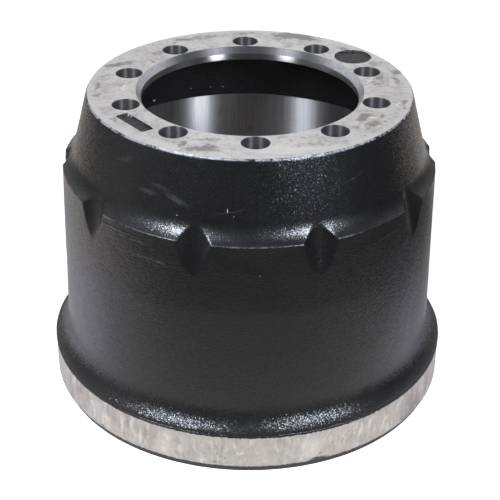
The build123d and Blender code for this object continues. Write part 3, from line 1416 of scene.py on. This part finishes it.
def floor_material(settings):
    """A plain pale floor, which glows a little to the camera and is dimmer in reflections."""
    values = {
        "Roughness": 0.9,
        "Specular IOR Level": 0.0,
        "Emission Color": WHITE,
    }
    material, tree, shader = new_material("pale_floor", values)
    where = own_place(tree)
    x, y, _ = parts_of(where)
    reach = length_of(where)
    near = mixed(ramp(y, -0.25, 0.0), WARM, ROSY)
    tint = mixed(ramp(reach, 0.3, 0.5), near, WARM)
    dim = scaled(tint, floor_grey(reach, x, y))
    glossy, from_camera = ray_kinds(tree)
    outputs = {
        "Base Color": mixed(glossy, (*settings.floor, 1), dim),
        "Emission Strength": times(from_camera, 0.6),
    }
    fill_in(shader, outputs)
    return material


def studio_floor(settings):
    """A pale disc of floor under the drum."""
    angle = np.linspace(0, 2 * pi, FLOOR_COLUMNS + 1)[:-1]
    radius = np.array(FLOOR_RINGS)[:, None]
    points = np.stack((radius * np.cos(angle), radius * np.sin(angle), 0 * radius * angle), axis=2)
    faces = grid_faces(len(FLOOR_RINGS), FLOOR_COLUMNS, True, False, 0)
    mesh, _, _ = welded_mesh("studio_floor", points.reshape(-1, 3), faces)
    mesh.materials.append(floor_material(settings))
    placed("studio_floor", mesh)


def studio_lamps(settings):
    """Two square soft lamps, high to the left and right of the camera."""
    for name, azimuth, elevation, share in LAMPS:
        data = bpy.data.lights.new(name, "AREA")
        data.shape = "RECTANGLE"
        data.size, data.size_y = LAMP_SIZE
        data.energy = settings.lamp_power * share
        data.color = LAMP_COLOUR
        lamp = placed(name, data)
        a, e = radians(azimuth), radians(elevation)
        away = Vector((sin(a) * cos(e), -cos(a) * cos(e), sin(e)))
        turn = away.to_track_quat("Z", "Y").to_matrix().to_4x4()
        lamp.matrix_world = Matrix.Translation(LAMP_TARGET + away * LAMP_REACH) @ turn
        lamp.visible_camera = False


def studio_world(settings):
    """Even light from all round. It shows as white behind the drum, and in reflections it is
    white on the far side and falls off towards the dark of the room behind the camera."""
    world = bpy.data.worlds.new("studio_world")
    world.use_nodes = True
    tree = world.node_tree
    x, y, z = parts_of(put("TexCoord", {}, tree).outputs["Generated"])
    lean = plus(times(y, 0.8), times(z, 0.6))
    behind = ramp(lean, 0.1, 0.9, 0.0, 0.84)
    low = ramp(x, 0.0, 0.6, 0.35, 0.18)
    above = ramp(z, 0.05, 0.45, low, 1.0)
    to_left = ramp(x, -1.0, -0.6, 0.3, 0.0)
    beside = times(to_left, ramp(y, 0.0, 0.5, 1.0, 0.0))
    far = plus(times(behind, above), plus(beside, 0.09))
    glossy, from_camera = ray_kinds(tree)
    fill = settings.fill
    seen = plus(times(glossy, maths("SUBTRACT", far, fill)), fill)
    outputs = {
        "Strength": maths("MAXIMUM", seen, from_camera),
        "Color": mixed(glossy, WHITE, COOL),
    }
    fill_in(tree.nodes["Background"], outputs)
    bpy.context.scene.world = world


# ---------------------------------------------------------------- operators


class DRUM_OT_casting(bpy.types.Operator):
    """Builds the casting with its finishes, in place of the plain solid"""

    bl_idname = "drum.casting"
    bl_label = "Build the casting"

    def execute(self, context):
        scene = context.scene
        casting = placed("drum_casting", casting_mesh(scene.drum_sizes))
        for material in finishes(scene.drum_colours, scene.drum_sizes.stud_circle_r):
            casting.data.materials.append(material)
        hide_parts("brake_drum")
        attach(casting, "root")
        return {"FINISHED"}


class DRUM_OT_studio(bpy.types.Operator):
    """Sets out the floor, the lamps, the surroundings and the camera"""

    bl_idname = "drum.studio"
    bl_label = "Set out the studio"

    def execute(self, context):
        settings = context.scene.drum_studio
        studio_floor(settings)
        studio_lamps(settings)
        studio_world(settings)
        studio_camera()
        context.scene.view_settings.view_transform = "Standard"
        return {"FINISHED"}


class DRUM_PT_panel(bpy.types.Panel):
    """Lists the drum's sizes and colours and the steps that build it"""

    bl_label = "Brake drum"
    bl_idname = "DRUM_PT_panel"
    bl_space_type = "VIEW_3D"
    bl_region_type = "UI"
    bl_category = "Brake drum"

    def draw(self, context):
        layout = self.layout
        scene = context.scene
        for group in (scene.drum_sizes, scene.drum_colours, scene.drum_studio):
            box = layout.box()
            for name in group.bl_rna.properties.keys():
                if name not in ("rna_type", "name"):
                    box.prop(group, name)
        layout.operator(DRUM_OT_casting.bl_idname)
        layout.operator(DRUM_OT_studio.bl_idname)


CLASSES = (DrumSizes, DrumColours, StudioSettings, DRUM_OT_casting, DRUM_OT_studio, DRUM_PT_panel)


def register():
    """Registers the classes and hangs the settings on the scene."""
    for kind in CLASSES:
        bpy.utils.register_class(kind)
    bpy.types.Scene.drum_sizes = bpy.props.PointerProperty(type=DrumSizes)
    bpy.types.Scene.drum_colours = bpy.props.PointerProperty(type=DrumColours)
    bpy.types.Scene.drum_studio = bpy.props.PointerProperty(type=StudioSettings)


def unregister():
    """Takes the settings and the classes away again."""
    del bpy.types.Scene.drum_sizes
    del bpy.types.Scene.drum_colours
    del bpy.types.Scene.drum_studio
    for kind in reversed(CLASSES):
        bpy.utils.unregister_class(kind)


def main():
    """Builds everything in order."""
    register()
    bpy.ops.drum.casting()
    bpy.ops.drum.studio()


if __name__ == "__main__":
    main()
